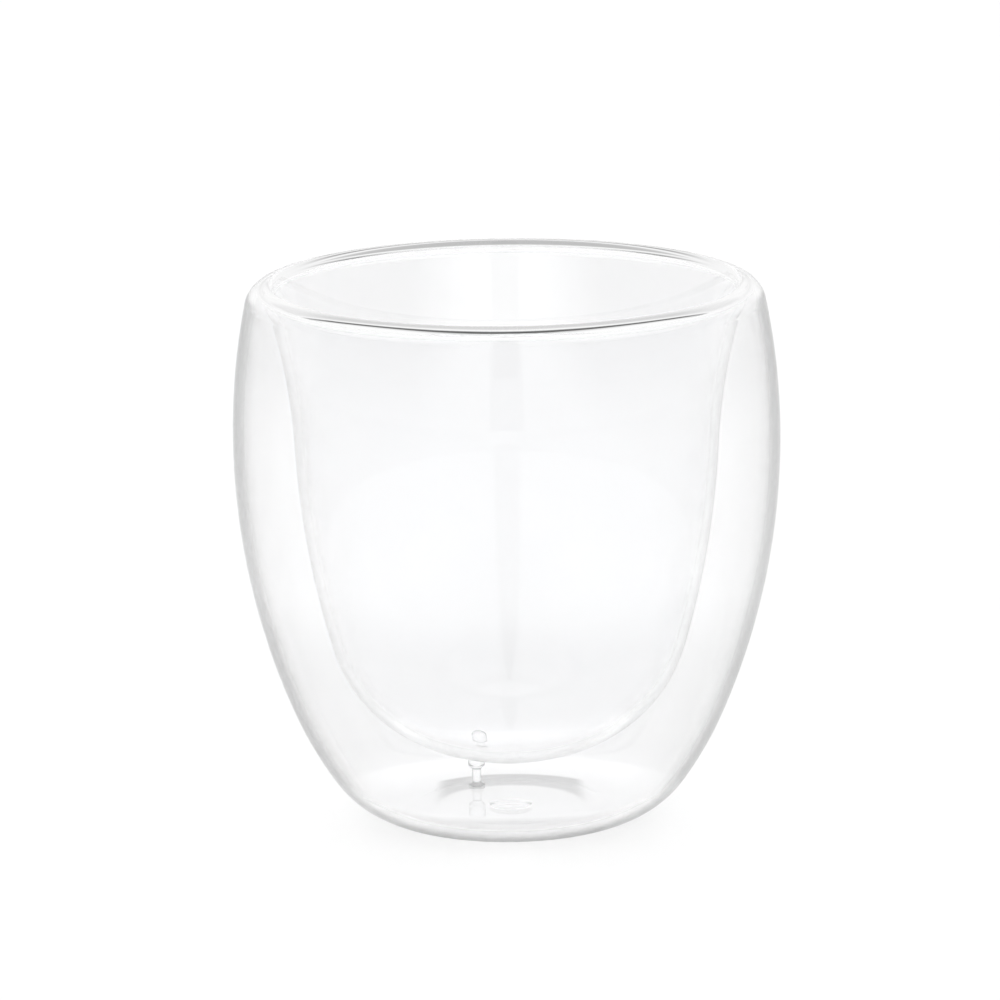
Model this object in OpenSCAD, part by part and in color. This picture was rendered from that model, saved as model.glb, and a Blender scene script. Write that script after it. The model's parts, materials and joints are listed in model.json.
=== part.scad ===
// Double walled glass cup.
// A blown outer shell and a blown inner bowl are fused at the rim, with a sealed layer of air between them.
// Every wall is one outline of arcs that run smoothly into each other, turned about the cup's axis.
// The origin is on the axis, in the plane that the cup stands on, and the front of the cup looks along -Y.

/* [Outer shell] */
// Height from the table to the crest of the rim
height = 88.1; // [80:0.1:110]
// Widest outside diameter, at the belly
belly_d = 88; // [80:0.5:100]
// Height of the widest point
belly_z = 62.7; // [56:0.1:68]
// Diameter of the flat face that the cup stands on
foot_d = 31; // [24:0.5:40]
// Radius of the heel, which starts at the edge of the flat face
heel_round = 16; // [11:0.5:20]
// How far the heel turns up from the table before the side begins, in degrees
heel_turn = 54.7; // [40:0.5:62]
// How much of the side's turning is done in the lower of its two arcs
side_share = 0.22; // [0.1:0.01:0.6]
// Thickness of the shell's glass
shell_t = 1.8; // [1.2:0.1:2.4]

/* [Inner bowl] */
// Clear height between the shell's floor and the bowl's underside
bottom_gap = 7.9; // [4:0.1:12]
// Radius of the cap that forms the bowl's bottom
cap_round = 34.3; // [26:0.1:44]
// How far the cap turns up before the bowl's side begins, in degrees
cap_turn = 30.5; // [15:0.5:40]
// How much of the bowl's turning is done in the lower of its two side arcs
bowl_share = 0.37; // [0.2:0.01:0.6]
// How far the neck, where the bowl's side stands steepest, lies inside the belly
neck_inset = 9.9; // [8:0.1:13]
// How far the neck lies below the crest of the rim
neck_drop = 26.5; // [18:0.1:32]
// How far the neck leans outward, in degrees
neck_lean = 2.7; // [1:0.1:4]
// Thickness of the bowl's glass
bowl_t = 1.6; // [1.2:0.1:1.9]

/* [Rim] */
// How far the crest of the rim lies inside the belly
crest_inset = 6; // [5:0.1:7]
// Outer radius of the lip, from the shell's side up to the crest
lip_round = 3.75; // [3.2:0.05:4.5]
// Inner radius of the lip, from the crest down into the mouth
mouth_round = 0.9; // [0.6:0.05:1.2]
// Radius of the top of the air layer, under the crest
air_round = 0.55; // [0.3:0.05:0.7]

/* [Floor] */
// Diameter of the low button of glass in the middle of the shell's floor
button_d = 7; // [4:0.5:10]
// Height of the button above the floor
button_h = 0.5; // [0.3:0.1:0.9]

/* [Vent and seal] */
// Distance of the vent from the axis
vent_offset = 12.4; // [8:0.1:14]
// Direction of the vent seen from above, in degrees from the right hand side
vent_turn = 117; // [0:1:360]
// Diameter of the vent through the floor
vent_d = 2.8; // [2:0.1:3.6]
// How far the seal's underside stays above the table
seal_recess = 0.4; // [0.2:0.1:0.8]
// Diameter of the seal's stem
stem_d = 1.5; // [1:0.1:1.9]
// Height of the stem above the floor
stem_h = 2.6; // [1.5:0.1:4]
// Radius of the fillet between the stem and the plug
stem_round = 0.6; // [0.3:0.05:0.6]
// Diameter of the bead on top of the stem
bead_d = 2.8; // [2.2:0.1:3.4]
// Height of the cone under the bead
bead_cone_h = 0.9; // [0.5:0.1:1.5]
// Height of the bead's straight side
bead_side_h = 2; // [1:0.1:3]

/* [Hidden] */
clear_glass = [0.83, 0.89, 0.91];
fused_glass = [0.72, 0.83, 0.87];
seal_glass = [0.62, 0.76, 0.82];
$fn = 96;
// Overrun of every cut
cut = 1;
// Longest turn between two points of an arc, in degrees
arc_step = 2;
// A right angle, which no size changes
quarter = acos(0);
// Points of an outline that lie closer than this are one point
same_point = 0.001;

belly_r = belly_d / 2;
foot_r = foot_d / 2;
vent_r = vent_d / 2;
bead_r = bead_d / 2;
button_r = button_d / 2;
crest_r = belly_r - crest_inset;

// Unit vectors: of an angle, and of the normal that points left of a heading (0 is outward, 90 is up)
function unit(angle) = [cos(angle), sin(angle)];
function left(heading) = [-sin(heading), cos(heading)];
function angle_of(v) = atan2(v[1], v[0]);
function steps(turn) = ceil(abs(turn) / arc_step);
function backward(list) = [for (i = [len(list) - 1:-1:0]) list[i]];
function without_repeats(points) =
    [for (i = [0:len(points) - 1]) if (i == 0 || norm(points[i] - points[i - 1]) > same_point) points[i]];

// Points of an arc about a middle point, both ends included
function arc(middle, radius, from, to) =
    [for (i = [0:steps(to - from)]) middle + radius * unit(from + (to - from) * i / steps(to - from))];

// Where a bend ends that starts at a point with a heading; a bend with a negative radius turns right
function end_of_bend(start, heading, radius, end_heading) =
    start + radius * (left(heading) - left(end_heading));

// Stations along a bend, as [point, heading], its last one left out
function bend(start, heading, radius, end_heading) =
    let (turn = end_heading - heading)
    [
        for (i = [0:steps(turn) - 1])
            let (now = heading + turn * i / steps(turn))
            [end_of_bend(start, heading, radius, now), now]
    ];

// Two arcs that lead from one point and heading to another, as [radius, heading between, radius]
function pair_of_bends(start, heading, end, end_heading, share) =
    let (
        ratio = share / (1 - share),
        away = unit(heading),
        home = unit(end_heading),
        span = end - start,
        a = 2 * ratio * (away * home - 1),
        b = -2 * (ratio * span * away + span * home),
        c = span * span,
        home_reach = (-b - sqrt(b * b - 4 * a * c)) / (2 * a),
        away_reach = ratio * home_reach,
        between = angle_of((end - home_reach * home) - (start + away_reach * away))
    )
    [
        away_reach / tan((between - heading) / 2),
        between,
        home_reach / tan((end_heading - between) / 2)
    ];

// Outer shell: heel, two side arcs, belly, and one arc up to the lip
heel_start = [foot_r, 0];
side_start = end_of_bend(heel_start, 0, heel_round, heel_turn);
belly = [belly_r, belly_z];
side = pair_of_bends(side_start, heel_turn, belly, quarter, side_share);
side_middle = end_of_bend(side_start, heel_turn, side[0], side[1]);
lip_middle = [crest_r, height - lip_round];
lip_from_belly = lip_middle - belly;
upper_round = (lip_from_belly * lip_from_belly - lip_round * lip_round) / (-2 * (lip_from_belly[0] + lip_round));
lip_angle = angle_of(lip_middle - belly + [upper_round, 0]);
lip_heading = lip_angle + quarter;
lip_start = lip_middle + lip_round * unit(lip_angle);
shell_stations = concat(
    bend(heel_start, 0, heel_round, heel_turn),
    bend(side_start, heel_turn, side[0], side[1]),
    bend(side_middle, side[1], side[2], quarter),
    bend(belly, quarter, upper_round, lip_heading),
    [[lip_start, lip_heading]]
);

// Inner bowl: bottom cap, two side arcs up to the neck, and a flare that runs into the mouth
bowl_bottom = [0, shell_t + bottom_gap];
cap_end = end_of_bend(bowl_bottom, 0, cap_round, cap_turn);
neck = [belly_r - neck_inset, height - neck_drop];
neck_heading = quarter - neck_lean;
bowl = pair_of_bends(cap_end, cap_turn, neck, neck_heading, bowl_share);
bowl_middle = end_of_bend(cap_end, cap_turn, bowl[0], bowl[1]);
mouth_middle = [crest_r, height - mouth_round];
mouth_from_neck = mouth_middle - neck;
past_mouth = bowl_t - mouth_round;
flare_round = (mouth_from_neck * mouth_from_neck - past_mouth * past_mouth)
    / (2 * (past_mouth - mouth_from_neck * left(neck_heading)));
flare_middle = neck - flare_round * left(neck_heading);
weld_heading = quarter - asin((lip_middle[1] - flare_middle[1]) / flare_round);
weld_start = end_of_bend(neck, neck_heading, -flare_round, weld_heading);
bowl_stations = concat(
    bend(bowl_bottom, 0, cap_round, cap_turn),
    bend(cap_end, cap_turn, bowl[0], bowl[1]),
    bend(bowl_middle, bowl[1], bowl[2], neck_heading),
    bend(neck, neck_heading, -flare_round, weld_heading),
    [[weld_start, weld_heading]]
);

// Top of the air layer: a small round that touches both walls under the crest
lip_inner_round = lip_round - shell_t;
air_limit_share = 0.6;
air_top_round = min(air_round, air_limit_share * lip_inner_round);
lip_to_flare = flare_middle - lip_middle;
middles_apart = norm(lip_to_flare);
toward_flare = lip_to_flare / middles_apart;
air_reach = lip_inner_round - air_top_round;
air_flare_reach = flare_round - air_top_round;
air_along = (middles_apart * middles_apart + air_reach * air_reach - air_flare_reach * air_flare_reach)
    / (2 * middles_apart);
air_across = sqrt(air_reach * air_reach - air_along * air_along);
air_middle = lip_middle + air_along * toward_flare + air_across * [-toward_flare[1], toward_flare[0]];
air_lip_angle = angle_of(air_middle - lip_middle);
air_flare_angle = angle_of(air_middle - flare_middle);
mouth_angle = angle_of(mouth_middle - flare_middle);

// Both faces of a wall whose glass lies left of its stations
function wall_faces(stations, thickness) =
    concat(
        [for (s = stations) s[0]],
        backward([for (s = stations) s[0] + thickness * left(s[1])])
    );

// The shell's outline runs up its outer face, down its inner face and over the button on its floor
module shell_section() {
    button_round = (button_h * button_h + button_r * button_r) / (2 * button_h);
    button_middle = [0, shell_t + button_h - button_round];
    button_angle = quarter - asin(button_r / button_round);
    polygon(concat(
        [[0, 0]],
        wall_faces(shell_stations, shell_t),
        arc(button_middle, button_round, button_angle, quarter)
    ));
}

module bowl_section()
    polygon(wall_faces(bowl_stations, bowl_t));

// The rim's outline runs over the lip, round the mouth and down to the weld, then back over the air layer
module rim_section() {
    weld_angle = weld_heading + quarter;
    polygon(without_repeats(concat(
        arc(lip_middle, lip_round, lip_angle, quarter),
        arc(mouth_middle, mouth_round, quarter, mouth_angle),
        arc(flare_middle, flare_round + bowl_t, mouth_angle, weld_angle),
        arc(flare_middle, flare_round, weld_angle, air_flare_angle),
        arc(air_middle, air_top_round, air_flare_angle, air_lip_angle),
        arc(lip_middle, lip_inner_round, air_lip_angle, lip_angle)
    )));
}

// Half outline of the seal: plug, fillet, stem, cone, bead and its round top
module seal_section() {
    stem_r = stem_d / 2;
    foot = min(stem_round, vent_r - stem_r);
    stem_top = shell_t + stem_h;
    side_base = stem_top + bead_cone_h;
    side_top = side_base + bead_side_h;
    translate([0, seal_recess])
        square([vent_r, shell_t - seal_recess]);
    difference() {
        translate([0, shell_t])
            square([stem_r + foot, foot]);
        translate([stem_r + foot, shell_t + foot])
            circle(r = foot);
    }
    translate([0, shell_t])
        square([stem_r, stem_h]);
    polygon([[0, stem_top], [stem_r, stem_top], [bead_r, side_base], [0, side_base]]);
    translate([0, side_base])
        square([bead_r, bead_side_h]);
    intersection() {
        translate([0, side_top])
            circle(r = bead_r);
        translate([0, side_top])
            square(bead_r);
    }
}

module at_vent()
    rotate(vent_turn)
        translate([vent_offset, 0])
            children();

module outer_shell()
    color(clear_glass)
        difference() {
            rotate_extrude()
                shell_section();
            at_vent()
                translate([0, 0, -cut])
                    cylinder(r = vent_r, h = shell_t + 2 * cut);
        }

module inner_bowl()
    color(clear_glass)
        rotate_extrude()
            bowl_section();

module rim_bead()
    color(fused_glass)
        rotate_extrude()
            rim_section();

module vent_seal()
    color(seal_glass)
        at_vent()
            rotate_extrude()
                seal_section();

outer_shell();
inner_bowl();
rim_bead();
vent_seal();
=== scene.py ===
"""Double walled glass cup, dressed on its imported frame.

A blown outer shell and a blown inner bowl are fused at the rim round a sealed layer of air. Each of the
four pieces is a closed surface of revolution, worked out from tangent arcs. Where two pieces are fused, both
end in the same face, which is clear, because melted glass has no surface there. Lengths are in metres.
"""
import json
import math
from collections import namedtuple

import bpy
import numpy as np
from bpy.props import FloatProperty, FloatVectorProperty, IntProperty, PointerProperty
from bpy.types import Operator, Panel, PropertyGroup
from mathutils import Matrix, Vector

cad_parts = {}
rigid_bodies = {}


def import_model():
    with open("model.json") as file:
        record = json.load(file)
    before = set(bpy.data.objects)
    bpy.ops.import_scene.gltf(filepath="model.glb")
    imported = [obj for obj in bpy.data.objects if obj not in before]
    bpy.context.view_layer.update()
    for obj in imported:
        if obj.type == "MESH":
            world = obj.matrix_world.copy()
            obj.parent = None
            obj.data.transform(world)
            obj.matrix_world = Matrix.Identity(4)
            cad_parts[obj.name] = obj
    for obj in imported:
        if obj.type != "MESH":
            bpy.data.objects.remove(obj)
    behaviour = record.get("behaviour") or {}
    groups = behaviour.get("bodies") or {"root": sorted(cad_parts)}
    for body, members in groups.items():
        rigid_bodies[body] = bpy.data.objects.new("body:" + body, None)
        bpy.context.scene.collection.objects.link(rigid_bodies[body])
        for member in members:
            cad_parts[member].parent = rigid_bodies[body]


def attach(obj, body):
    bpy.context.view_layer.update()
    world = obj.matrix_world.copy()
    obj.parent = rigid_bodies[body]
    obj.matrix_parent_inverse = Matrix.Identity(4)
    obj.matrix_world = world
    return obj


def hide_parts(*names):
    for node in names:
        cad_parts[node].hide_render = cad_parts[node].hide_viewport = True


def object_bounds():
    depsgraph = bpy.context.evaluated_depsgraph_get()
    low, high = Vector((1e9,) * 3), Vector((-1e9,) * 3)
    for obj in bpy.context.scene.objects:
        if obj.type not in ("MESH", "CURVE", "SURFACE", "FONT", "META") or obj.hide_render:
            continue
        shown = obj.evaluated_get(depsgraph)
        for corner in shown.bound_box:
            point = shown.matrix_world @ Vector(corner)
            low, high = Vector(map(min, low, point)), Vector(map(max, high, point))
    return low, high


bl_info = {
    "name": "Double walled glass cup",
    "version": (1, 0, 0),
    "blender": (4, 5, 0),
    "location": "View3D > Sidebar > Glass cup",
    "description": "Builds a double walled glass cup and a white studio round it",
    "category": "Add Mesh",
}

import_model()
cad_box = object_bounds()

MM = 0.001
BODY = "root"
ON_AXIS = 1e-7
GLASS, SEAM, INSIDE = 0, 1, 2
UP, DOWN, OUTWARD = (0.0, 1.0), (0.0, -1.0), (1.0, 0.0)
UPRIGHT = math.pi / 2
# The longest step of an arc and its widest turn, and the stops of a seam
LONGEST_STEP, WIDEST_STEP = 0.7 * MM, math.radians(3)
SEAM_STOPS = np.linspace(0, 1, 4)
# The shell's floor: points from the middle to the patch that holds the vent, steps across the patch, and its
# reach to each side as a share of the vent's diameter
CENTRE_POINTS, PATCH_STEPS, PATCH_SHARE = 6, 14, 1.25
# The rings between a patch's edge and its hole, the stops of the seal's stem, and the faces round the seal
HOLE_RINGS, STEM_STOPS, SEAL_AROUND = 6, np.linspace(0, 1, 13), 64

# Borosilicate glass, and the pattern of its waves and smears
GLASS_IOR = 1.474
WAVE_STRETCH, WAVE_DETAIL = (1, 1, 2.2), 1.5
SMEAR_SCALE, SMEAR_DETAIL, SMEAR_SPAN = 180, 5, (0.45, 0.75)

# Painted edge shade, for the dim surroundings that glass shows near its edges: how far the colour goes
# to the near-black edge colour, by how edge-on the outer face is seen
SHELL_EDGE_SHADE = ((0.0, 0.0), (0.42, 0.03), (0.6, 0.13), (0.68, 0.26), (0.71, 0.42), (0.76, 0.66), (0.9, 0.95))
BOWL_EDGE_SHADE = ((0.5, 0.0), (0.73, 0.02), (0.8, 0.15), (0.86, 0.4), (1.0, 1.0))
RIM_EDGE_SHADE = ((0.5, 0.0), (0.8, 0.04), (0.87, 0.3), (0.93, 0.8))
SEAL_EDGE_SHADE = ((0.1, 0.0), (0.5, 0.25), (0.8, 0.8))
NO_EDGE_SHADE = ((0.0, 0.0),)
# Where the lip's painted edge shade turns into the rim's, as shares of the way from the weld up to the crest
CREST_SHARES = (0.3, 0.65)
# Over these heights each face's shade goes from that near the table to that of the rest
FOOT_HEIGHTS = (0.5 * MM, 6 * MM)

# Painted glow, which stands in for the light that the wall leads on inside itself. Stops give how much
# comes out, by height in millimetres, and so paint the rim's bright and dark bands. It turns to one light
# grey between the pale distances beside the axis, in millimetres. Sink is how far the heights lie lower, in
# millimetres, at 10 mm beside the axis. It grows with the square of the distance
PaintedGlow = namedtuple("PaintedGlow", "stops pale sink")
SHELL_PAINTED_GLOW = PaintedGlow(
    stops=((62, 0.52), (66, 0.6), (68, 0.9), (71, 1.0), (73, 0.6), (75, 0.2), (75.8, 0.2), (76.2, 1.0)),
    pale=(20, 33),
    sink=0,
)
BOWL_PAINTED_GLOW = PaintedGlow(
    stops=(
        (50, 0.97),
        (66, 0.8),
        (74, 0.62),
        (76, 0.7),
        (76.7, 1.0),
        (77.1, 1.0),
        (77.4, 0.0),
        (77.9, 0.0),
        (78.2, 1.0),
    ),
    pale=(30, 38),
    sink=0.34,
)
EVEN_PAINTED_GLOW = PaintedGlow(stops=((0, 0.6),), pale=(30, 38), sink=0)
# The height that a ramp of the painted glow covers, the distance where sink is given, and the light grey
PAINTED_GLOW_SPAN, PAINTED_GLOW_SINK_AT, PAINTED_GLOW_GREY = 100 * MM, 10 * MM, 0.92
# Rays that are past one of these depths, and that a render soon drops, see the painted glow
DROPPED_RAY_DEPTHS = (("Glossy Depth", 4.5), ("Ray Depth", 12.5), ("Transparent Depth", 8.5))

# Painted shade that only glass sees: zones of the table that it sees darker, at the sides, round the foot,
# in an arch behind the floor's button, in front of the heel and well behind the cup. Each is the product of
# soft bands, times its share, which is one of the studio's settings. A band goes from nothing at its first
# distance, in millimetres, to all at its second. The distance is taken out from the axis, to either side of
# it, or back
PAINTED_TABLE_SHADE = {
    "fade": (("aside", 60, 180),),
    "painted_foot_ring_shade": (("out", 30, 33), ("out", 150, 90)),
    "painted_arch_shade": (("out", 20, 18.5), ("out", 11.5, 13), ("aside", 13, 10.5), ("back", 0, 3)),
    "painted_heel_shade": (("out", 24, 19), ("back", -8, -14)),
    "painted_far_back_shade": (("back", 260, 440), ("aside", 8, 32), ("back", 900, 550)),
}
# Rays that have met more faces than this see no painted arch or heel shade, so that the bowl doesn't mirror
# them
STRAIGHT_ZONES, STRAIGHT_DEPTH = ("painted_arch_shade", "painted_heel_shade"), 4.5
# Painted light: near the foot, glass sees the table whiter: a band as above, out from the axis
PAINTED_FOOT_LIGHT_BAND = (45, 28)
# The table's radius, its rings and the faces round it, and how far it lies under the foot
TABLE_RADIUS, TABLE_RINGS, TABLE_AROUND, TABLE_DROP = 3, 13, 96, 0.05 * MM

# The slit in the white room: where its soft edge begins, as a share of its width, and its grey
SLIT_SOFT_SHARE, SLIT_GREY = 0.8, 0.5
# In front, where a direction's y is -1, the room is a little grey. It turns white between these values of y
FRONT_SPAN, FRONT_GREY = (-0.9, -0.2), 0.93
# Plain light grows with this power of how high it comes from, times this factor
OVERHEAD_POWER, OVERHEAD_GAIN = 4, 3
# The lamp's size and power, its place, and the place that it faces
LAMP_SIZE, LAMP_POWER, LAMP_PLACE, LAMP_AIM = 0.9, 0.2, (0.0, 0.35, 1.1), (0.0, 0.0, 0.04)
# The film's width in millimetres, and the nearest and the farthest that the camera sees
FILM_WIDTH, CLIP_START, CLIP_END = 36, 0.01, 50

# A leg is a stretch of an outline: its points, their normals and the slot of its material
Leg = namedtuple("Leg", "points normals slot")
# A surface has its places, the grid of their ids, and each face's corners, corner normals and slot
Surface = namedtuple("Surface", "places ids corners normals slots")


# Settings


def metres(*millimetres):
    """Lengths in metres, from millimetres."""
    return tuple(value * MM for value in millimetres)


def length(name, description, millimetres):
    """A length property, written here in millimetres and kept in metres."""
    return FloatProperty(
        name=name,
        description=description,
        default=millimetres * MM,
        min=0,
        unit="LENGTH",
        subtype="DISTANCE",
    )


def angle(name, description, degrees):
    """An angle property, written here in degrees and kept in radians."""
    return FloatProperty(
        name=name, description=description, default=math.radians(degrees), unit="ROTATION", subtype="ANGLE"
    )


def share(name, description, value):
    """A plain number from 0 to 1."""
    return FloatProperty(name=name, description=description, default=value, min=0, max=1, subtype="FACTOR")


def colour(name, description, value):
    """A linear colour."""
    return FloatVectorProperty(
        name=name, description=description, default=value, min=0, max=1, size=3, subtype="COLOR"
    )


class ShellSizes(PropertyGroup):
    """Sizes of the outer shell"""

    height: length("Height", "From the table to the crest of the rim", cad_box[1].z / MM)
    belly: length("Belly", "Widest outside diameter", (cad_box[1].x - cad_box[0].x) / MM)
    belly_height: length("Belly height", "Height of the widest point", 62.7)
    foot: length("Foot", "Diameter of the flat face that the cup stands on", 31)
    heel: length("Heel", "Radius of the round heel", 16)
    heel_turn: angle("Heel turn", "How far the heel turns up before the side begins", 54.7)
    side_share: share("Side share", "Part of the side's turning in its lower arc", 0.22)
    glass: length("Glass", "Thickness of the shell", 1.8)
    button: length("Button", "Diameter of the low button in the middle of the floor", 7)
    button_height: length("Button height", "Height of the button above the floor", 0.5)


class BowlSizes(PropertyGroup):
    """Sizes of the inner bowl"""

    gap: length("Gap", "Clear height under the bowl", 7.9)
    cap: length("Cap", "Radius of the bowl's bottom", 34.3)
    cap_turn: angle("Cap turn", "How far the cap turns up before the side begins", 30.5)
    side_share: share("Side share", "Part of the bowl's turning in the lower side arc", 0.37)
    neck_inset: length("Neck inset", "How far the neck lies inside the belly", 9.9)
    neck_drop: length("Neck drop", "How far the neck lies below the crest", 26.5)
    neck_lean: angle("Neck lean", "How far the neck leans outward", 2.7)
    glass: length("Glass", "Thickness of the bowl", 1.6)


class RimSizes(PropertyGroup):
    """Sizes of the fused rim"""

    inset: length("Inset", "How far the crest lies inside the belly", 6)
    lip: length("Lip", "Outer radius of the lip", 3.75)
    mouth: length("Mouth", "Inner radius of the lip", 0.9)
    air: length("Air", "Radius of the top of the air layer", 0.55)


class SealSizes(PropertyGroup):
    """Sizes of the vent and of the seal that closes it"""

    offset: length("Offset", "Distance of the vent from the axis", 12.4)
    turn: angle("Turn", "Direction of the vent from the right hand side", 117)
    vent: length("Vent", "Diameter of the vent", 2.8)
    recess: length("Recess", "Height of the seal's underside above the table", 0.4)
    stem: length("Stem", "Diameter of the stem", 1.5)
    stem_height: length("Stem height", "Height of the stem above the floor", 2.6)
    fillet: length("Fillet", "Radius of the fillet under the stem", 0.6)
    bead: length("Bead", "Diameter of the bead", 2.8)
    cone: length("Cone", "Height of the cone under the bead", 0.9)
    side: length("Side", "Height of the bead's straight side", 2)


class GlassLook(PropertyGroup):
    """Colours and surface of the glass"""

    tint: colour("Tint", "Colour of the clear glass", (0.998, 0.9985, 0.999))
    deep_tint: colour("Deep tint", "Colour where the glass is a little thicker", (0.992, 0.9935, 0.998))
    wave_size: length("Wave size", "Distance between the soft waves of the blown wall", 26)
    wave_height: length("Wave height", "Height of the soft waves", 0.012)
    smear: share("Smear", "Greatest roughness of the fire polished face", 0.012)
    # Painted edge shade: the near-black colour that the glass turns to as its faces turn edge-on
    edge: colour("Edge", "Colour of the glass seen edge-on", (0.02, 0.022, 0.023))
    shade: share("Shade", "Part of the plain light that each face keeps back, which makes the shadow", 0.02)
    foot_shade: share("Foot shade", "The same part for the faces near the table", 0.1)
    around: IntProperty(name="Around", description="Faces round the cup", default=256, min=64, max=512)


class StudioLook(PropertyGroup):
    """Table, room and camera"""

    distance: length("Distance", "From the camera to the middle of the cup", 1000)
    climb: angle("Climb", "Height of the camera above the horizon", 13.06)
    roll: angle("Roll", "Tilt of the camera to the side", 0.65)
    aim: length("Aim", "Height that the camera looks at", 44.07)
    lens: length("Lens", "Focal length on a film 36 mm wide", 223.06)
    rise: FloatProperty(name="Rise", description="Shift of the film upward", default=0.0493)
    drift: FloatProperty(name="Drift", description="Shift of the film to the right", default=-0.008)
    floor: colour("Floor", "Colour of the table", (0.9, 0.9, 0.9))
    lift: share("Lift", "Extra white that the table shows to the camera and through glass", 0.12)
    fill: share("Fill", "Light of the white room on plain surfaces", 1.0)
    lean: share("Lean", "How much of the plain light comes from behind rather than from the front", 0.8)
    # Painted light and painted shade on the table, which only glass sees: whiter round the foot, darker in
    # zones
    painted_foot_light: share("Glow", "Extra white that glass sees on the table round the foot", 0.06)
    fade: share("Fade", "How much darker glass sees the table far at its sides", 0.1)
    painted_foot_ring_shade: share("Foot ring", "How much darker glass sees the table round the foot", 0.1)
    painted_arch_shade: share("Arch", "How dark glass sees the arch behind the floor's button", 0.5)
    painted_heel_shade: share("Heel band", "How dark glass sees the table in front of the heel", 0.3)
    painted_far_back_shade: share("Far back", "How much darker glass sees the table well behind the cup", 0.12)
    slit: share("Slit", "Width of the dark slit that the camera looks through", 0.14)


# Outlines: points are (distance from the axis, height); headings and angles count from outward towards up


def left_of(heading):
    """Unit vectors that point left of headings: minus the sine, and the cosine."""
    return np.stack((-np.sin(heading), np.cos(heading)), axis=-1)


def toward(turn):
    """Unit vectors of angles: the cosine and the sine."""
    return np.stack((np.cos(turn), np.sin(turn)), axis=-1)


def angle_of(vector):
    """Angle of a vector."""
    return math.atan2(vector[1], vector[0])


def evenly(turn, radius):
    """How many steps an arc takes, so that none is too long or turns too far."""
    return max(2, math.ceil(abs(turn * radius) / LONGEST_STEP), math.ceil(abs(turn) / WIDEST_STEP))


def bend(start, heading, radius, end_heading):
    """A circular bend. The point at a heading is the start plus the radius times the difference of two left
    vectors: the first heading's less its own."""
    headings = np.linspace(heading, end_heading, evenly(end_heading - heading, radius) + 1)
    return start + radius * (left_of(heading) - left_of(headings)), headings


def chain(start, heading, *bends):
    """Bends that run smoothly into each other, each given by its radius and last heading."""
    points, headings = np.array([start]), np.array([heading])
    for radius, end_heading in bends:
        more_points, more_headings = bend(points[-1], headings[-1], radius, end_heading)
        points = np.concatenate((points, more_points[1:]))
        headings = np.concatenate((headings, more_headings[1:]))
    return points, headings


def pair_of_bends(start, heading, end, end_heading, lower_share):
    """Two tangent arcs between two points with headings. The lengths from the ends to the corners on their
    shared tangent stand in the ratio of the lower share to the rest, and solve a quadratic."""
    ratio = lower_share / (1 - lower_share)
    away, home, span = toward(heading), toward(end_heading), end - start
    a = 2 * ratio * (away @ home - 1)
    b = -2 * (ratio * span @ away + span @ home)
    home_reach = (-b - math.sqrt(b * b - 4 * a * (span @ span))) / (2 * a)
    away_reach = ratio * home_reach
    between = angle_of((end - home_reach * home) - (start + away_reach * away))
    return (
        (away_reach / math.tan((between - heading) / 2), between),
        (home_reach / math.tan((end_heading - between) / 2), end_heading),
    )


def arc(middle, radius, first, last, side, slot=GLASS):
    """A leg of an outline: the middle plus the radius times the unit vector of each angle. Its normals are
    those unit vectors, times -1 where the glass lies outside the arc."""
    turns = np.linspace(first, last, evenly(last - first, radius) + 1)
    return Leg(middle + radius * toward(turns), side * toward(turns), slot)


def straight(start, end, normal, slot=GLASS, stops=(0, 1)):
    """A straight leg: the start plus each stop's share of the way to the end."""
    start, stops = np.array(start), np.array(stops)[:, None]
    points = start + stops * (np.array(end) - start)
    return Leg(points, np.broadcast_to(normal, points.shape), slot)


def wall(points, headings, thickness):
    """The legs of a wall that has its glass left of its line: up its outer face, over the seam where it is
    fused, and down its inner face, which is the line moved to the left by the thickness."""
    inner = points + thickness * left_of(headings)
    return (
        Leg(points, -left_of(headings), GLASS),
        straight(points[-1], inner[-1], toward(headings[-1]), SEAM, SEAM_STOPS),
        Leg(inner[::-1], left_of(headings)[::-1], INSIDE),
    )


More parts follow.
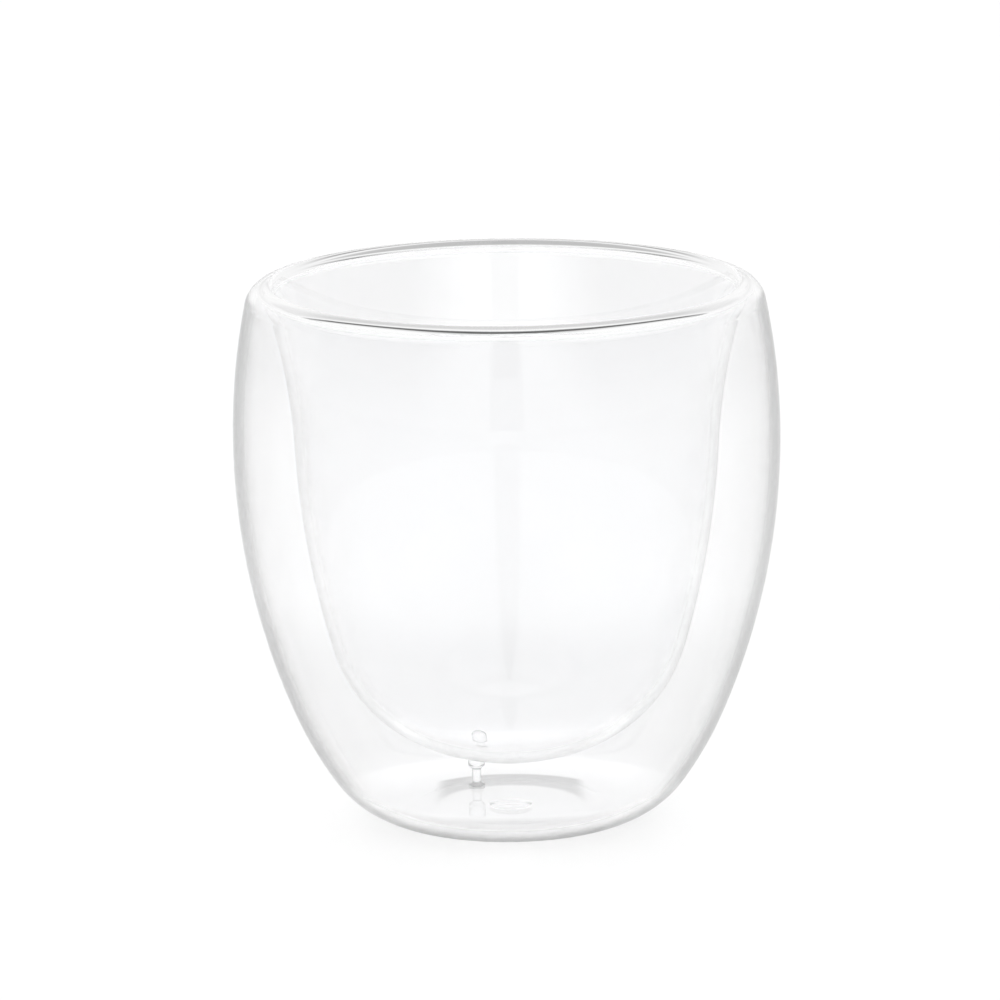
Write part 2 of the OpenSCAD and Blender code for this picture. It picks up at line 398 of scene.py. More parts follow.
class Walls:
    """The lines of both walls and the circles that the rim is made of. Circles that run into each other have
    their middles as far apart as the difference of their radii. That gives the radius of the shell's last
    arc, which runs into the lip, that of the flare, whose inner face runs into the mouth, and the place of
    the air's circle between the two walls."""

    def __init__(self, cup):
        shell, bowl, rim = cup.shell, cup.bowl, cup.rim
        crest_r = shell.belly / 2 - rim.inset
        belly = np.array([shell.belly / 2, shell.belly_height])
        heel = chain((shell.foot / 2, 0.0), 0.0, (shell.heel, shell.heel_turn))[0][-1]
        self.lip = np.array([crest_r, shell.height - rim.lip])
        reach = self.lip - belly
        upper = (reach @ reach - rim.lip**2) / (-2 * (reach[0] + rim.lip))
        self.lip_angle = angle_of(reach + (upper, 0))
        self.shell = chain(
            (shell.foot / 2, 0.0),
            0.0,
            (shell.heel, shell.heel_turn),
            *pair_of_bends(heel, shell.heel_turn, belly, UPRIGHT, shell.side_share),
            (upper, self.lip_angle + UPRIGHT),
        )

        bottom = (0.0, shell.glass + bowl.gap)
        cap = chain(bottom, 0.0, (bowl.cap, bowl.cap_turn))[0][-1]
        neck = np.array([shell.belly / 2 - bowl.neck_inset, shell.height - bowl.neck_drop])
        neck_heading = UPRIGHT - bowl.neck_lean
        self.mouth = np.array([crest_r, shell.height - rim.mouth])
        reach, past = self.mouth - neck, bowl.glass - rim.mouth
        self.flare_round = (reach @ reach - past**2) / (2 * (past - reach @ left_of(neck_heading)))
        self.flare = neck - self.flare_round * left_of(neck_heading)
        self.weld = UPRIGHT - math.asin((self.lip[1] - self.flare[1]) / self.flare_round)
        self.bowl = chain(
            bottom,
            0.0,
            (bowl.cap, bowl.cap_turn),
            *pair_of_bends(cap, bowl.cap_turn, neck, neck_heading, bowl.side_share),
            (-self.flare_round, self.weld),
        )

        across = self.flare - self.lip
        apart = math.hypot(*across)
        lip_reach, flare_reach = rim.lip - shell.glass - rim.air, self.flare_round - rim.air
        along = (apart**2 + lip_reach**2 - flare_reach**2) / (2 * apart)
        aside = math.sqrt(lip_reach**2 - along**2)
        self.air = self.lip + (along * across + aside * np.array([-across[1], across[0]])) / apart


# Surfaces and meshes


def turned(legs, turns, middle=(0.0, 0.0), looped=False):
    """A surface of revolution about an upright line at (x, y). The outline's point (r, z) and the angle a
    give the place (x + r cos a, y + r sin a, z). The outline has its glass on the left, so that the faces
    look outward."""
    rows = np.concatenate([legs[0].points] + [leg.points[1:] for leg in legs[1:]])
    if looped:
        rows = rows[:-1]
    ring = toward(turns)
    places = np.empty((len(rows), len(turns), 3))
    places[..., :2] = rows[:, None, :1] * ring + np.array(middle)
    places[..., 2] = rows[:, 1:]
    ids = np.arange(len(rows) * len(turns)).reshape(len(rows), len(turns))
    poles = rows[:, 0] < ON_AXIS
    ids[poles] = ids[poles, :1]

    first = np.arange(sum(len(leg.points) - 1 for leg in legs))
    low, high = ids[first], ids[(first + 1) % len(rows)]
    corners = np.stack((low, np.roll(low, -1, 1), np.roll(high, -1, 1), high), axis=-1)
    before = np.concatenate([leg.normals[:-1] for leg in legs])
    after = np.concatenate([leg.normals[1:] for leg in legs])
    sides = np.stack((before, before, after, after), axis=1)
    spokes = np.stack((ring, np.roll(ring, -1, 0), np.roll(ring, -1, 0), ring), axis=1)
    normals = np.empty(corners.shape + (3,))
    normals[..., :2] = sides[:, None, :, :1] * spokes
    normals[..., 2] = sides[:, None, :, 1]
    slots = np.repeat([leg.slot for leg in legs], [len(leg.points) - 1 for leg in legs])
    slots = np.broadcast_to(slots[:, None], corners.shape[:2])
    return Surface(places.reshape(-1, 3), ids, corners, normals, slots)


def flat_faces(low, high, normal, slot):
    """Faces between two closed rings of places, with one normal for each corner."""
    corners = np.stack((low, np.roll(low, -1), np.roll(high, -1), high), axis=-1)
    return corners, np.broadcast_to(normal, corners.shape + (3,)), np.full(len(corners), slot)


def holed(surface, rows, columns, hole, radius, up, slot):
    """Opens a round hole in a flat part of a turned surface. The patch between the given rows and columns is
    taken out, and rings lead from its edge to the hole: ring t is the edge's place times (1 - t) plus the
    circle's place times t. Returns the new places, the new faces, which faces go, and the ids and the angles
    of the hole's ring in the order of its angles."""
    rows, columns = np.array(rows), np.array(columns)
    ids = surface.ids
    edge = np.concatenate(
        (
            ids[rows[0], columns[:-1]],
            ids[rows[:-1], columns[-1]],
            ids[rows[-1], columns[:0:-1]],
            ids[rows[:0:-1], columns[0]],
        )
    )
    rim = surface.places[edge]
    turns = np.arctan2(rim[:, 1] - hole[1], rim[:, 0] - hole[0])
    circle = np.column_stack((np.array(hole) + radius * toward(turns), rim[:, 2]))
    t = np.linspace(0, 1, HOLE_RINGS + 1)[1:, None, None]
    places = ((1 - t) * rim + t * circle).reshape(-1, 3)
    ring_ids = np.vstack((edge, len(surface.places) + np.arange(len(places)).reshape(HOLE_RINGS, -1)))
    faces = [flat_faces(*pair, (0.0, 0.0, up), slot) for pair in zip(ring_ids[:-1], ring_ids[1:])]
    gone = np.zeros(surface.corners.shape[:2], bool)
    gone[np.ix_(rows[:-1], columns[:-1])] = True
    order = np.argsort(turns)
    return places, faces, gone, ring_ids[-1][order], turns[order]


def put_mesh(name, places, corners, normals, slots, materials):
    """Makes the mesh object. A face with two corners at one place becomes a triangle, unused places are
    dropped, and every corner gets the exact normal of its surface."""
    keep = np.ones(corners.shape, bool)
    keep[:, 1] = corners[:, 0] != corners[:, 1]
    keep[:, 3] = corners[:, 2] != corners[:, 3]
    used, corner_ids = np.unique(corners[keep], return_inverse=True)
    sizes = keep.sum(1)
    starts = np.concatenate(([0], np.cumsum(sizes)[:-1]))

    mesh = bpy.data.meshes.new(name)
    mesh.vertices.add(len(used))
    mesh.vertices.foreach_set("co", places[used].ravel())
    mesh.loops.add(len(corner_ids))
    mesh.loops.foreach_set("vertex_index", corner_ids.astype(np.int32))
    mesh.polygons.add(len(sizes))
    mesh.polygons.foreach_set("loop_start", starts.astype(np.int32))
    mesh.polygons.foreach_set("material_index", slots.astype(np.int32))
    mesh.polygons.foreach_set("use_smooth", np.ones(len(sizes), bool))
    mesh.update(calc_edges=True)
    if mesh.validate():
        raise RuntimeError(f"the mesh of {name} isn't sound")
    mesh.normals_split_custom_set(normals[keep])
    for material in materials:
        mesh.materials.append(material)
    piece = bpy.data.objects.new(name, mesh)
    bpy.context.scene.collection.objects.link(piece)
    return piece


def as_lists(surface):
    """A surface's faces as flat lists of corners, normals and slots."""
    return surface.corners.reshape(-1, 4), surface.normals.reshape(-1, 4, 3), surface.slots.ravel()


def join_cup(piece, node):
    """Puts a piece in the place of its node, on the cup's body."""
    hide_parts(node)
    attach(piece, BODY)


def around(cup):
    """The angles of the columns round the cup. The first points at the vent."""
    return cup.seal.turn + np.arange(cup.look.around) * (2 * math.pi / cup.look.around)


def vent_place(cup):
    """Where the vent's axis stands on the floor."""
    return cup.seal.offset * toward(cup.seal.turn)


# Materials


def grey(level):
    """An opaque grey."""
    return level, level, level, 1


def node(tree, kind, x, y, fed=None, **values):
    """Adds a node at a place, sets its properties and feeds its inputs, each with an output or a value."""
    made = tree.nodes.new(kind)
    made.location = (x, y)
    for key, value in values.items():
        setattr(made, key, value)
    for key, value in (fed or {}).items():
        if isinstance(value, bpy.types.NodeSocket):
            tree.links.new(value, made.inputs[key])
        else:
            made.inputs[key].default_value = value
    return made


def maths(tree, operation, x, y, *values):
    """The result of a Math node on values, each an output or a number."""
    return node(tree, "ShaderNodeMath", x, y, dict(enumerate(values)), operation=operation).outputs[0]


def mixed(tree, amount, one, other, x, y, kind="RGBA"):
    """The mix of two colours or numbers: the first where the amount is 0, and the second where it is 1."""
    fed = {"Factor": amount, "A": one, "B": other}
    return node(tree, "ShaderNodeMix", x, y, fed, data_type=kind).outputs["Result"]


def soft_step(tree, value, span, levels, x, y):
    """A soft step: the first level at the first end of the span, and the second at its other end."""
    low, high = sorted(zip(span, levels))
    fed = {"Value": value, "From Min": low[0], "From Max": high[0], "To Min": low[1], "To Max": high[1]}
    return node(tree, "ShaderNodeMapRange", x, y, fed, interpolation_type="SMOOTHSTEP").outputs["Result"]


def ramp(tree, value, stops, x, y):
    """The grey of a ramp at a value. Each stop has its place and its level."""
    made = node(tree, "ShaderNodeValToRGB", x, y, {"Fac": value})
    elements = made.color_ramp.elements
    elements.remove(elements[1])
    elements[0].position, elements[0].color = stops[0][0], grey(stops[0][1])
    for place, level in stops[1:]:
        elements.new(place).color = grey(level)
    return made.outputs["Color"]


def blown_glass_group():
    """Shared detail of blown glass: soft waves, a tint that deepens a little where the wall is thicker, and
    faint smears of roughness. The pattern is longer round the cup than up it, as glass gets on a lathe."""
    name = "blown_glass_detail"
    if name in bpy.data.node_groups:
        return bpy.data.node_groups[name]
    group = bpy.data.node_groups.new(name, "ShaderNodeTree")
    for label, kind, default in (
        ("Position", "NodeSocketVector", (0, 0, 0)),
        ("Tint", "NodeSocketColor", grey(1)),
        ("Deep Tint", "NodeSocketColor", grey(1)),
        ("Waves", "NodeSocketFloat", 40),
        ("Smear", "NodeSocketFloat", 0.01),
    ):
        group.interface.new_socket(label, in_out="INPUT", socket_type=kind).default_value = default
    for label, kind in (("Color", "Color"), ("Roughness", "Float"), ("Height", "Float")):
        group.interface.new_socket(label, in_out="OUTPUT", socket_type=f"NodeSocket{kind}")
    given = node(group, "NodeGroupInput", -900, 0).outputs
    fed = {0: given["Position"], 1: WAVE_STRETCH}
    drawn = node(group, "ShaderNodeVectorMath", -700, 0, fed, operation="MULTIPLY").outputs[0]
    fed = {"Vector": drawn, "Scale": given["Waves"], "Detail": WAVE_DETAIL}
    waves = node(group, "ShaderNodeTexNoise", -450, 200, fed).outputs["Fac"]
    fed = {"Vector": given["Position"], "Scale": SMEAR_SCALE, "Detail": SMEAR_DETAIL}
    smears = node(group, "ShaderNodeTexNoise", -450, -150, fed).outputs["Fac"]
    fed = {"Value": smears, "From Min": SMEAR_SPAN[0], "From Max": SMEAR_SPAN[1], "To Max": given["Smear"]}
    rough = node(group, "ShaderNodeMapRange", 150, -150, fed).outputs["Result"]
    tint = mixed(group, waves, given["Tint"], given["Deep Tint"], 150, 250)
    node(group, "NodeGroupOutput", 500, 0, {"Color": tint, "Roughness": rough, "Height": waves})
    return group


def glass(name, look, strength=1.0, finer=1.0, edge=NO_EDGE_SHADE, wall_glow=EVEN_PAINTED_GLOW, crest=None):
    """Clear borosilicate glass. Strength deepens the tint, finer makes its waves smaller, and edge is its
    ramp to the edge colour, a painted edge shade as its faces turn edge-on. A painted glow stands in for the
    light that it leads on. Crest gives the two heights between which its painted edge shade turns into the
    rim's.
    Plain light, which has no picture, goes straight through and leaves a faint shadow."""
    material = bpy.data.materials.new(name)
    material.use_nodes = True
    material.cycles.emission_sampling = "NONE"
    tree = material.node_tree
    tree.nodes.clear()
    place = node(tree, "ShaderNodeTexCoord", -1400, 0).outputs["Object"]
    x, _, z = node(tree, "ShaderNodeSeparateXYZ", -1200, 0, {0: place}).outputs
    path = node(tree, "ShaderNodeLightPath", -1200, -500).outputs
    facing = node(tree, "ShaderNodeLayerWeight", -400, 400, {"Blend": 0.5}).outputs["Facing"]
    fed = {"Position": place, "Waves": finer / look.wave_size, "Smear": look.smear}
    for label, tint in (("Tint", look.tint), ("Deep Tint", look.deep_tint)):
        fed[label] = (*(part**strength for part in tint), 1)
    detail = node(tree, "ShaderNodeGroup", -150, 0, fed, node_tree=blown_glass_group()).outputs
    bump = node(tree, "ShaderNodeBump", 0, -250, {"Distance": look.wave_height, "Height": detail["Height"]})

    # Painted edge shade: the colour goes towards the edge colour as the face turns edge-on
    edge_shade_share = ramp(tree, facing, edge, -200, 400)
    if crest:
        upward = soft_step(tree, z, crest, (0, 1), -200, 1000)
        edge_shade_share = mixed(tree, upward, edge_shade_share, ramp(tree, facing, RIM_EDGE_SHADE, -200, 700), 50, 600)
    plain = maths(tree, "MAXIMUM", -400, -200, path["Is Shadow Ray"], path["Is Diffuse Ray"])
    shade = soft_step(tree, z, FOOT_HEIGHTS, (look.foot_shade, look.shade), -400, -350)
    cover = node(tree, "ShaderNodeMapRange", -200, -200, {"Value": plain, "To Min": 1.0, "To Max": shade})
    fed = {
        "Base Color": mixed(tree, edge_shade_share, detail["Color"], (*look.edge, 1), 50, 250),
        "Roughness": detail["Roughness"],
        "IOR": GLASS_IOR,
        "Alpha": cover.outputs["Result"],
        "Normal": bump.outputs["Normal"],
        "Transmission Weight": 1.0,
        # Painted glow: the glass gives off light, by height, on rays that the render drops
        "Emission Color": painted_wall_glow(tree, path, x, z, wall_glow),
        "Emission Strength": 1.0,
    }
    shader = node(tree, "ShaderNodeBsdfPrincipled", 200, 0, fed)
    node(tree, "ShaderNodeOutputMaterial", 500, 0, {"Surface": shader.outputs["BSDF"]})
    return material


def painted_wall_glow(tree, path, x, z, wall_glow):
    """A painted glow: the white room's light, seen after more mirrorings or passes than a render follows,
    and black before that. It stands in for light that the wall leads on inside itself, which comes out into
    the same white room, so it isn't left black. How much comes out is a ramp over the height, which for the
    shell and the bowl paints bright and dark bands near the rim."""
    lost = 0.0
    for row, (depth, most) in enumerate(DROPPED_RAY_DEPTHS):
        over = maths(tree, "GREATER_THAN", -900, -500 - 180 * row, path[depth], most)
        lost = maths(tree, "MAXIMUM", -700, -500 - 180 * row, lost, over)
    aside = maths(tree, "ABSOLUTE", -1000, -300, x)
    height = maths(tree, "MULTIPLY", -1000, -100, z, 1 / PAINTED_GLOW_SPAN)
    square = maths(tree, "MULTIPLY", -900, -300, aside, aside)
    sunk = maths(tree, "MULTIPLY_ADD", -800, -200, square, wall_glow.sink * MM / PAINTED_GLOW_SINK_AT**2 / PAINTED_GLOW_SPAN, height)
    shares = ramp(tree, sunk, [(z_mm * MM / PAINTED_GLOW_SPAN, level) for z_mm, level in wall_glow.stops], -600, -200)
    paler = soft_step(tree, aside, metres(*wall_glow.pale), (0, 1), -600, -400)
    light = mixed(tree, paler, shares, grey(PAINTED_GLOW_GREY), -400, -500)
    return mixed(tree, lost, grey(0), light, -200, -500)


def seam():
    """The fused face inside the glass, where light goes straight through."""
    name = "fused_seam"
    if name in bpy.data.materials:
        return bpy.data.materials[name]
    material = bpy.data.materials.new(name)
    material.use_nodes = True
    material.node_tree.nodes["Principled BSDF"].inputs["Alpha"].default_value = 0.0
    return material


# Operators


class CUP_OT_shell(Operator):
    """Blows the outer shell, with its foot, its floor button and the vent through its floor"""

    bl_idname = "glass_cup.shell"
    bl_label = "Outer shell"

    def execute(self, context):
        cup = context.scene.glass_cup
        legs = self.outline(cup)
        # The floor's leg comes after four others, and its patch starts one row further in
        over_row = sum(len(leg.points) - 1 for leg in legs[:4]) + 1
        materials = (
            glass("shell_glass_outside", cup.look, edge=SHELL_EDGE_SHADE, wall_glow=SHELL_PAINTED_GLOW),
            seam(),
            glass("shell_glass_inside", cup.look, wall_glow=SHELL_PAINTED_GLOW),
        )
        vented = self.vented(cup, turned(legs, around(cup)), CENTRE_POINTS - 1, over_row)
        piece = put_mesh("outer_shell_blown", *vented, materials)
        join_cup(piece, "outer_shell")
        return {"FINISHED"}

    def outline(self, cup):
        """The legs of the shell: its flat underside, its wall, its floor, and the button, a slice of a ball
        whose radius is (height squared + half width squared) / (2 height)."""
        sizes, seal = cup.shell, cup.seal
        foot_r, button_r, top = sizes.foot / 2, sizes.button / 2, sizes.glass
        near, far = seal.offset - seal.vent, seal.offset + seal.vent
        patch = np.linspace(near, far, PATCH_STEPS + 1)
        under = np.concatenate((np.linspace(0, near, CENTRE_POINTS), patch[1:], [foot_r]))
        over = np.concatenate(([foot_r], patch[::-1], np.linspace(near, button_r, CENTRE_POINTS)[1:]))
        button_round = (sizes.button_height**2 + button_r**2) / (2 * sizes.button_height)
        button_middle = np.array([0.0, top + sizes.button_height - button_round])
        button_angle = math.acos(button_r / button_round)
        return (
            Leg(np.column_stack((under, 0 * under)), np.broadcast_to(DOWN, (len(under), 2)), GLASS),
            *wall(*Walls(cup).shell, sizes.glass),
            Leg(np.column_stack((over, 0 * over + top)), np.broadcast_to(UP, (len(over), 2)), INSIDE),
            arc(button_middle, button_round, button_angle, UPRIGHT, 1, INSIDE),
        )

    def vented(self, cup, surface, under_row, over_row):
        """The shell's places and faces with the vent: a hole in the underside, a hole in the floor, and the
        round wall between them, whose upper stretch is fused to the seal."""
        seal, vent, vent_r = cup.seal, vent_place(cup), cup.seal.vent / 2
        half = round(math.atan(PATCH_SHARE * seal.vent / seal.offset) / (2 * math.pi) * cup.look.around)
        columns, rows = np.arange(-half, half + 1), np.arange(PATCH_STEPS + 1)
        places, faces, gone, low_ring, turns = holed(
            surface, under_row + rows, columns, vent, vent_r, -1.0, GLASS
        )
        surface = surface._replace(places=np.concatenate((surface.places, places)))
        more_places, more_faces, more_gone, top_ring, _ = holed(
            surface, over_row + rows, columns, vent, vent_r, 1.0, INSIDE
        )
        kept = ~(gone | more_gone)
        shelf = np.column_stack((vent + vent_r * toward(turns), np.full(len(turns), seal.recess)))
        shelf_ring = len(surface.places) + len(more_places) + np.arange(len(shelf))
        inward = np.column_stack((-toward(turns), 0 * turns))
        next_inward = np.roll(inward, -1, 0)
        corner_normals = np.stack((inward, inward, next_inward, next_inward), axis=1)
        for low, high, slot in ((low_ring, shelf_ring, GLASS), (shelf_ring, top_ring, SEAM)):
            corners = np.stack((low, high, np.roll(high, -1), np.roll(low, -1)), axis=-1)
            more_faces.append((corners, corner_normals, np.full(len(corners), slot)))
        lists = (
            np.concatenate([part, *(extra[i] for extra in faces + more_faces)])
            for i, part in enumerate((surface.corners[kept], surface.normals[kept], surface.slots[kept]))
        )
        return np.concatenate((surface.places, more_places, shelf)), *lists


class CUP_OT_bowl(Operator):
    """Blows the inner bowl, which hangs from the rim"""

    bl_idname = "glass_cup.bowl"
    bl_label = "Inner bowl"

    def execute(self, context):
        cup = context.scene.glass_cup
        surface = turned(wall(*Walls(cup).bowl, cup.bowl.glass), around(cup))
        materials = (
            glass("bowl_glass_outside", cup.look, finer=1.15, edge=BOWL_EDGE_SHADE, wall_glow=BOWL_PAINTED_GLOW),
            seam(),
            glass("bowl_glass_inside", cup.look, finer=1.15, wall_glow=BOWL_PAINTED_GLOW),
        )
        piece = put_mesh("inner_bowl_blown", surface.places, *as_lists(surface), materials)
        join_cup(piece, "inner_bowl")
        return {"FINISHED"}


class CUP_OT_rim(Operator):
    """Melts the rim over both walls: lip, crest, mouth, and the round top of the air layer"""

    bl_idname = "glass_cup.rim"
    bl_label = "Fused rim"

    def execute(self, context):
        cup = context.scene.glass_cup
        rim, bowl_t, walls = cup.rim, cup.bowl.glass, Walls(cup)
        lip_inner = rim.lip - cup.shell.glass
        weld_angle = walls.weld + UPRIGHT
        mouth_angle = angle_of(walls.mouth - walls.flare)
        air_flare, air_lip = angle_of(walls.air - walls.flare), angle_of(walls.air - walls.lip)
        weld = walls.flare + np.outer((walls.flare_round + bowl_t, walls.flare_round), toward(weld_angle))
        joint = walls.lip + np.outer((lip_inner, rim.lip), toward(walls.lip_angle))
        down = -toward(walls.weld), -toward(walls.lip_angle + UPRIGHT)
        legs = (
            arc(walls.lip, rim.lip, walls.lip_angle, UPRIGHT, 1),
            arc(walls.mouth, rim.mouth, UPRIGHT, mouth_angle, 1, INSIDE),
            arc(walls.flare, walls.flare_round + bowl_t, mouth_angle, weld_angle, 1, INSIDE),
            straight(*weld, down[0], SEAM, SEAM_STOPS),
            arc(walls.flare, walls.flare_round, weld_angle, air_flare, -1, INSIDE),
            arc(walls.air, rim.air, air_flare, air_lip, -1, INSIDE),
            arc(walls.lip, lip_inner, air_lip, walls.lip_angle, -1, INSIDE),
            straight(*joint, down[1], SEAM, SEAM_STOPS),
        )
        surface = turned(legs, around(cup), looped=True)
        weld_z, crest_z = joint[1, 1], walls.lip[1] + rim.lip
        crest = tuple(weld_z + part * (crest_z - weld_z) for part in CREST_SHARES)
        materials = (
            glass("rim_glass_outside", cup.look, strength=1.2, finer=2.0, edge=SHELL_EDGE_SHADE, crest=crest),
            seam(),
            glass("rim_glass_inside", cup.look, strength=1.2, finer=2.0),
        )
        piece = put_mesh("rim_bead_melted", surface.places, *as_lists(surface), materials)
        join_cup(piece, "rim_bead")
        return {"FINISHED"}


class CUP_OT_seal(Operator):
    """Draws the bead of glass that closes the vent"""

    bl_idname = "glass_cup.seal"
    bl_label = "Vent seal"

    def execute(self, context):
        cup = context.scene.glass_cup
        seal, floor = cup.seal, cup.shell.glass
        vent_r, stem_r, bead_r = seal.vent / 2, seal.stem / 2, seal.bead / 2
        fillet = min(seal.fillet, vent_r - stem_r)
        foot = stem_r + fillet
        stem_top = floor + seal.stem_height
        side_base = stem_top + seal.cone
        side_top = side_base + seal.side
        # The stem swells into the bead as half a wave of the cosine
        ease = (1 - np.cos(math.pi * STEM_STOPS)) / 2
        swell = np.column_stack((stem_r + (bead_r - stem_r) * ease, stem_top + seal.cone * STEM_STOPS))
        slope = (bead_r - stem_r) * math.pi / 2 * np.sin(math.pi * STEM_STOPS) / seal.cone
        swell_normals = np.column_stack((np.ones_like(slope), -slope)) / np.hypot(1, slope)[:, None]
        legs = (
            straight((0.0, seal.recess), (vent_r, seal.recess), DOWN, GLASS, SEAM_STOPS),
            straight((vent_r, seal.recess), (vent_r, floor), OUTWARD, SEAM, SEAM_STOPS),
            straight((vent_r, floor), (foot, floor), UP),
            arc(np.array([foot, floor + fillet]), fillet, -UPRIGHT, -2 * UPRIGHT, -1),
            straight((stem_r, floor + fillet), (stem_r, stem_top), OUTWARD, GLASS, STEM_STOPS),
            Leg(swell, swell_normals, GLASS),
            straight((bead_r, side_base), (bead_r, side_top), OUTWARD, GLASS, STEM_STOPS),
            arc(np.array([0.0, side_top]), bead_r, 0.0, UPRIGHT, 1),
        )
        surface = turned(legs, np.linspace(0, 2 * math.pi, SEAL_AROUND, endpoint=False), vent_place(cup))
        materials = (glass("seal_glass_drawn", cup.look, strength=1.5, finer=6.0, edge=SEAL_EDGE_SHADE), seam())
        piece = put_mesh("vent_seal_drawn", surface.places, *as_lists(surface), materials)
        join_cup(piece, "vent_seal")
        return {"FINISHED"}


def seen_by_lens(tree, path, x, y):
    """Two switches: rays that the lens sees by way of glass, and all that it sees. Plain light is in
    neither."""
    glassy = maths(tree, "MAXIMUM", x, y, path["Is Glossy Ray"], path["Is Transmission Ray"])
    return glassy, maths(tree, "MAXIMUM", x + 200, y, glassy, path["Is Camera Ray"])


class CUP_OT_studio(Operator):
    """Sets the white table, the white room, the soft lamp and the camera"""

    bl_idname = "glass_cup.studio"
    bl_label = "Studio"

    def execute(self, context):
        studio = context.scene.glass_cup.studio
        self.table(studio)
        self.room(studio)
        self.lamp()
        self.camera(context, studio)
        context.scene.view_settings.view_transform = "Standard"
        return {"FINISHED"}

    def table(self, studio):
        """A round white table, a hair under the foot. Glass sees some zones of it darker, as painted shade,
        and the table round the foot whiter, as painted light.
        """
        radii = np.linspace(TABLE_RADIUS, 0, TABLE_RINGS)
        rows = np.column_stack((radii, np.full(TABLE_RINGS, -TABLE_DROP)))
        flat = Leg(rows, np.broadcast_to(UP, rows.shape), GLASS)
        surface = turned((flat,), np.linspace(0, 2 * math.pi, TABLE_AROUND, endpoint=False))
        material = bpy.data.materials.new("table_white")
        material.use_nodes = True
        tree = material.node_tree
        tree.nodes.clear()
        place = node(tree, "ShaderNodeTexCoord", -1400, 0).outputs["Object"]
        path = node(tree, "ShaderNodeLightPath", -1400, -300).outputs
        x, y, _ = node(tree, "ShaderNodeSeparateXYZ", -1200, 0, {0: place}).outputs
        away = node(tree, "ShaderNodeVectorMath", -1200, 200, {0: place}, operation="LENGTH")
        ways = {"aside": maths(tree, "ABSOLUTE", -1000, 0, x), "out": away.outputs["Value"], "back": y}
        glassy, seen = seen_by_lens(tree, path, -400, -200)
        straight_in = maths(tree, "LESS_THAN", -1000, -300, path["Ray Depth"], STRAIGHT_DEPTH)
        # Painted shade: glass sees the table darker by the darkest of its zones
        deepest_painted_shade = 0.0
        for row, (name, bands) in enumerate(PAINTED_TABLE_SHADE.items()):
            zone = getattr(studio, name)
            for column, (way, *span) in enumerate(bands):
                at = -800 + 150 * column, 300 + 300 * row
                band = soft_step(tree, ways[way], metres(*span), (0, 1), *at)
                zone = maths(tree, "MULTIPLY", at[0], at[1] - 150, zone, band)
            if name in STRAIGHT_ZONES:
                zone = maths(tree, "MULTIPLY", -200, 150 + 300 * row, zone, straight_in)
            deepest_painted_shade = maths(tree, "MAXIMUM", 0, 150 + 300 * row, deepest_painted_shade, zone)
        painted_table_shade = maths(tree, "MULTIPLY", 0, 0, deepest_painted_shade, glassy)
        paper = mixed(tree, painted_table_shade, (*studio.floor, 1), grey(0), 200, 200)
        # Painted light: glass sees the table whiter round the foot
        near = soft_step(tree, ways["out"], metres(*PAINTED_FOOT_LIGHT_BAND), (0, studio.painted_foot_light), -400, -400)
        lift = maths(tree, "MULTIPLY", 0, -200, seen, studio.lift)
        extra = maths(tree, "MULTIPLY_ADD", 200, -200, glassy, near, lift)
        matt = node(tree, "ShaderNodeBsdfDiffuse", 400, 100, {"Color": paper})
        white = node(tree, "ShaderNodeEmission", 400, -100, {"Strength": extra})
        both = node(tree, "ShaderNodeAddShader", 600, 0, {0: matt.outputs[0], 1: white.outputs[0]})
        node(tree, "ShaderNodeOutputMaterial", 800, 0, {"Surface": both.outputs[0]})
        put_mesh("table", surface.places, *as_lists(surface), (material,))

    def room(self, studio):
        """A white room. Glass sees it with the dark slit that the camera looks through, and a little darker
        in front. Plain surfaces get its soft light, most of it from overhead."""
        world = bpy.data.worlds.new("white_room")
        bpy.context.scene.world = world
        world.use_nodes = True
        tree = world.node_tree
        tree.nodes.clear()
        way = node(tree, "ShaderNodeTexCoord", -800, 0).outputs["Generated"]
        x, y, z = node(tree, "ShaderNodeSeparateXYZ", -600, 0, {0: way}).outputs
        path = node(tree, "ShaderNodeLightPath", -600, 400).outputs
        _, seen = seen_by_lens(tree, path, -200, 400)
        aside = maths(tree, "ABSOLUTE", -400, -200, x)
        front = maths(tree, "MULTIPLY", -400, -400, y, -1)
        from_slit = maths(tree, "DIVIDE", -200, -300, aside, front)
        slit_span = studio.slit * SLIT_SOFT_SHARE, studio.slit
        slit = soft_step(tree, from_slit, slit_span, (SLIT_GREY, 1), 0, -300)
        behind = maths(tree, "GREATER_THAN", 0, -500, y, 0)
        open_room = maths(tree, "MAXIMUM", 200, -300, slit, behind)
        fading = soft_step(tree, y, FRONT_SPAN, (FRONT_GREY, 1), 200, -500)
        room = maths(tree, "MULTIPLY", 400, -300, fading, open_room)
        leaning = maths(tree, "MULTIPLY_ADD", -200, 100, y, studio.lean, 1)
        overhead = maths(tree, "POWER", -400, 0, z, OVERHEAD_POWER)
        above = maths(tree, "MULTIPLY", -200, -50, overhead, OVERHEAD_GAIN * studio.fill)
        plain = maths(tree, "MULTIPLY", 0, 100, leaning, above)
        indirect = mixed(tree, seen, plain, room, 600, 100, "FLOAT")
        strength = mixed(tree, path["Is Camera Ray"], indirect, 1.0, 800, 100, "FLOAT")
        backdrop = node(tree, "ShaderNodeBackground", 1000, 0, {"Color": grey(1), "Strength": strength})
        node(tree, "ShaderNodeOutputWorld", 1200, 0, {"Surface": backdrop.outputs[0]})

    def lamp(self):
        """One broad soft lamp above and behind the cup."""
        light = bpy.data.lights.new("soft_top_lamp", "AREA")
        light.shape = "DISK"
        light.size = LAMP_SIZE
        light.energy = LAMP_POWER
        lamp = bpy.data.objects.new("soft_top_lamp", light)
        lamp.location = LAMP_PLACE
        lamp.rotation_euler = (Vector(LAMP_AIM) - Vector(LAMP_PLACE)).to_track_quat("-Z", "Y").to_euler()
        bpy.context.scene.collection.objects.link(lamp)

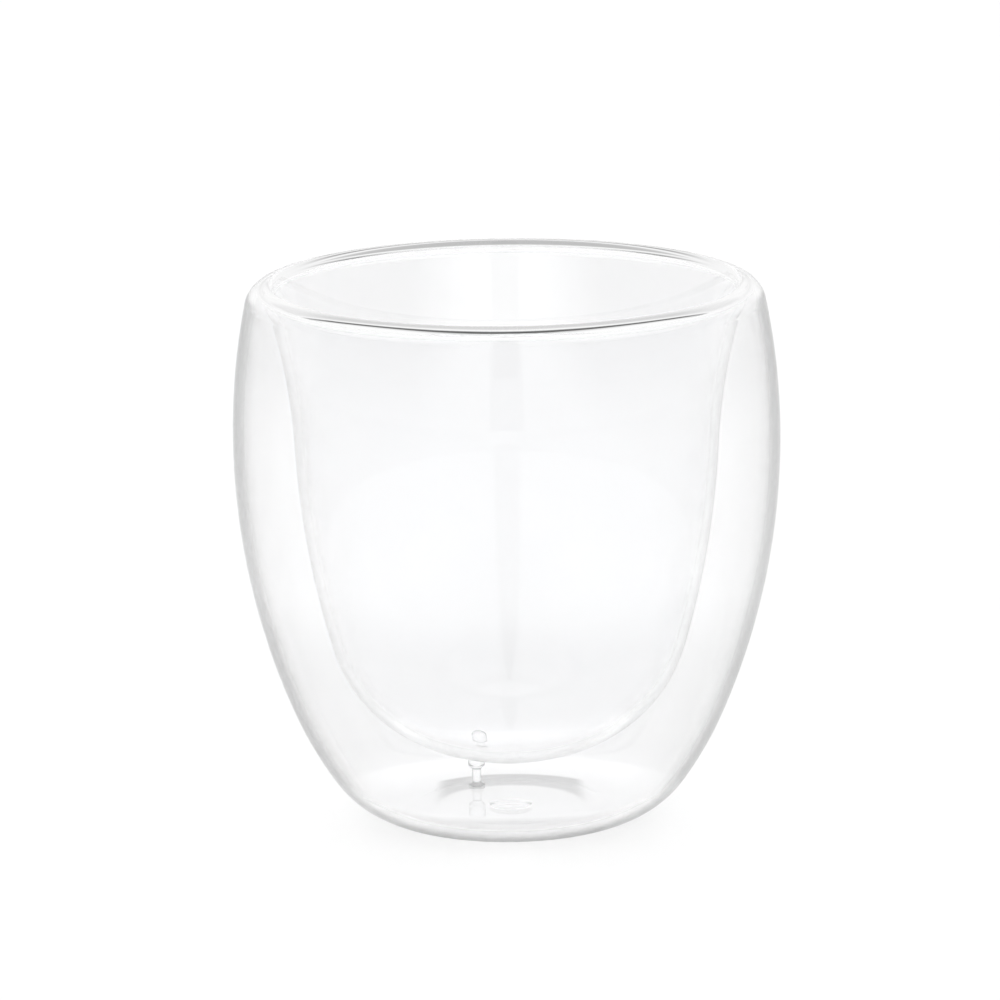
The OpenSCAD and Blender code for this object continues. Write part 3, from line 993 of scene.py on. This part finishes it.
    def camera(self, context, studio):
        """The photograph's camera, with its small shift and tilt."""
        data = bpy.data.cameras.new("camera")
        data.sensor_width = FILM_WIDTH
        data.lens = studio.lens / MM
        data.shift_x, data.shift_y = studio.drift, studio.rise
        data.clip_start, data.clip_end = CLIP_START, CLIP_END
        camera = bpy.data.objects.new("camera", data)
        back = Vector((0, -math.cos(studio.climb), math.sin(studio.climb)))
        turn = (-back).to_track_quat("-Z", "Y").to_matrix().to_4x4() @ Matrix.Rotation(-studio.roll, 4, "Z")
        camera.matrix_world = Matrix.Translation(Vector((0, 0, studio.aim)) + back * studio.distance) @ turn
        context.scene.collection.objects.link(camera)
        context.scene.camera = camera


# Panel and registering


class GlassCup(PropertyGroup):
    """All that the cup and its studio are made from"""

    shell: PointerProperty(type=ShellSizes, name="Shell", description="Sizes of the outer shell")
    bowl: PointerProperty(type=BowlSizes, name="Bowl", description="Sizes of the inner bowl")
    rim: PointerProperty(type=RimSizes, name="Rim", description="Sizes of the fused rim")
    seal: PointerProperty(type=SealSizes, name="Seal", description="Sizes of the vent and its seal")
    look: PointerProperty(type=GlassLook, name="Glass", description="Colours and surface of the glass")
    studio: PointerProperty(type=StudioLook, name="Studio", description="Table, room and camera")


class CUP_PT_panel(Panel):
    """Sizes, finishes and steps of the glass cup"""

    bl_idname = "CUP_PT_panel"
    bl_label = "Glass cup"
    bl_space_type = "VIEW_3D"
    bl_region_type = "UI"
    bl_category = "Glass cup"

    def draw(self, context):
        cup = context.scene.glass_cup
        for step, part in PANEL_ROWS:
            box = self.layout.box()
            if step:
                box.operator(step.bl_idname)
            sizes = getattr(cup, part)
            for key in sizes.__annotations__:
                box.prop(sizes, key)


STEPS = (CUP_OT_shell, CUP_OT_bowl, CUP_OT_rim, CUP_OT_seal, CUP_OT_studio)
PANEL_ROWS = tuple(zip((*STEPS[:4], None, STEPS[4]), ("shell", "bowl", "rim", "seal", "look", "studio")))
CLASSES = (ShellSizes, BowlSizes, RimSizes, SealSizes, GlassLook, StudioLook, GlassCup, *STEPS, CUP_PT_panel)


def register():
    """Adds the classes and the cup's settings."""
    for cls in CLASSES:
        bpy.utils.register_class(cls)
    bpy.types.Scene.glass_cup = PointerProperty(type=GlassCup)


def unregister():
    """Takes the settings and the classes away again."""
    del bpy.types.Scene.glass_cup
    for cls in reversed(CLASSES):
        bpy.utils.unregister_class(cls)


def main():
    """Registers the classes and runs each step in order."""
    register()
    for step in STEPS:
        family, name = step.bl_idname.split(".")
        getattr(getattr(bpy.ops, family), name)()


if __name__ == "__main__":
    main()
